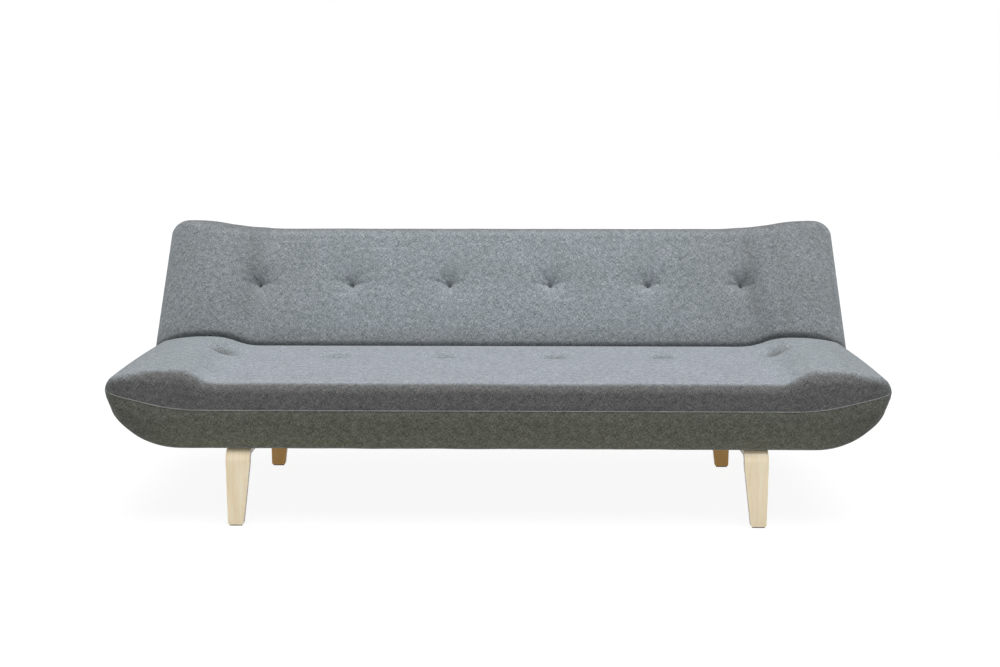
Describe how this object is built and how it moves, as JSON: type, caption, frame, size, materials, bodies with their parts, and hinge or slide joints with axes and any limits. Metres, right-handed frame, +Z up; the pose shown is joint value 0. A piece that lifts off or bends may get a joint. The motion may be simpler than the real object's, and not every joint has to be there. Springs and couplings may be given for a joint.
{
  "type": "click clack sofa bed",
  "caption": "Upholstered sofa bed: tufted seat pad with upturned ends on bent plywood legs, tufted backrest that reclines flat on ratchet hinges.",
  "frame": {"origin": "on the floor, below the middle of the object as it stands with the backrest upright", "axes": "+X along the length to the right as seen from the front, +Y from front to back, +Z up"},
  "size_m": [2.02, 0.8513, 0.7239],
  "materials": {
    "grey_fabric": "matte woven, blue-grey melange",
    "piping_fabric": "matte woven over cord",
    "foam": "open-cell foam",
    "grey_felt": "needled felt",
    "black_lining": "non-woven lining",
    "webbing": "woven elastic",
    "twine": "waxed twine",
    "frame_timber": "planed softwood",
    "birch_ply": "clear satin lacquer",
    "glide_felt": "pressed felt",
    "zinc_steel": "zinc plated",
    "spring_steel": "oiled spring steel",
    "black_steel": "satin black powder coat",
    "black_rubber": "matte"
  },
  "bodies": {
    "seat": {"hinge_pin_clips": "zinc_steel", "hinge_pivot_pin_left": "zinc_steel", "hinge_pivot_pin_right": "zinc_steel", "hinge_ratchet_left": "black_steel", "hinge_ratchet_right": "black_steel", "hinge_seat_arm_left": "black_steel", "hinge_seat_arm_right": "black_steel", "hinge_seat_screws": "zinc_steel", "leg_boards": "frame_timber", "leg_bolts": "zinc_steel", "leg_front_left": "birch_ply", "leg_front_right": "birch_ply", "leg_glides": "glide_felt", "leg_rear_left": "birch_ply", "leg_rear_right": "birch_ply", "leg_tee_nuts": "zinc_steel", "leg_washers": "zinc_steel", "seat_corner_blocks": "frame_timber", "seat_cross_rails": "frame_timber", "seat_dust_cover": "black_lining", "seat_end_rail_left": "frame_timber", "seat_end_rail_right": "frame_timber", "seat_felt": "grey_felt", "seat_foam": "foam", "seat_front_rail": "frame_timber", "seat_lower_cover": "grey_fabric", "seat_piping": "piping_fabric", "seat_rear_rail": "frame_timber", "seat_spring_clips": "zinc_steel", "seat_springs": "spring_steel", "seat_tuft_ties": "twine", "seat_upper_cover": "grey_fabric"},
    "backrest": {"back_bottom_rail": "frame_timber", "back_cross_rails": "frame_timber", "back_end_rail_left": "frame_timber", "back_end_rail_right": "frame_timber", "back_felt": "grey_felt", "back_foam": "foam", "back_front_cover": "grey_fabric", "back_rear_cover": "grey_fabric", "back_straps": "webbing", "back_top_rail": "frame_timber", "back_tuft_ties": "twine", "hinge_back_arm_left": "black_steel", "hinge_back_arm_right": "black_steel", "hinge_back_screws": "zinc_steel", "pawl_pin_left": "zinc_steel", "pawl_pin_right": "zinc_steel", "pawl_spring_left": "spring_steel", "pawl_spring_right": "spring_steel", "support_bracket_screws": "zinc_steel", "support_brackets": "black_steel", "support_pins": "zinc_steel"},
    "pawl_left": {"pawl_left": "black_steel"},
    "pawl_right": {"pawl_right": "black_steel"},
    "support_leg_left": {"support_leg_left": "black_steel", "support_foot_left": "black_rubber"},
    "support_leg_right": {"support_leg_right": "black_steel", "support_foot_right": "black_rubber"}
  },
  "joints": [
    {"name": "backrest_recline", "type": "hinge", "parent": "seat", "child": "backrest", "pos_m": [0, 0.1597, 0.335], "axis": [1, 0, 0], "range_deg": [-65, 8]},
    {"name": "pawl_swing_left", "type": "hinge", "parent": "backrest", "child": "pawl_left", "pos_m": [-0.7725, 0.18608, 0.37268], "axis": [1, 0, 0], "range_deg": [-9, 6], "stiffness_Nm_per_rad": 0.3},
    {"name": "pawl_swing_right", "type": "hinge", "parent": "backrest", "child": "pawl_right", "pos_m": [0.7725, 0.18608, 0.37268], "axis": [1, 0, 0], "range_deg": [-9, 6], "stiffness_Nm_per_rad": 0.3},
    {"name": "support_leg_fold_left", "type": "hinge", "parent": "backrest", "child": "support_leg_left", "pos_m": [-0.56, 0.41094, 0.58748], "axis": [1, 0, 0], "range_deg": [0, 90]},
    {"name": "support_leg_fold_right", "type": "hinge", "parent": "backrest", "child": "support_leg_right", "pos_m": [0.56, 0.41094, 0.58748], "axis": [1, 0, 0], "range_deg": [0, 90]}
  ]
}
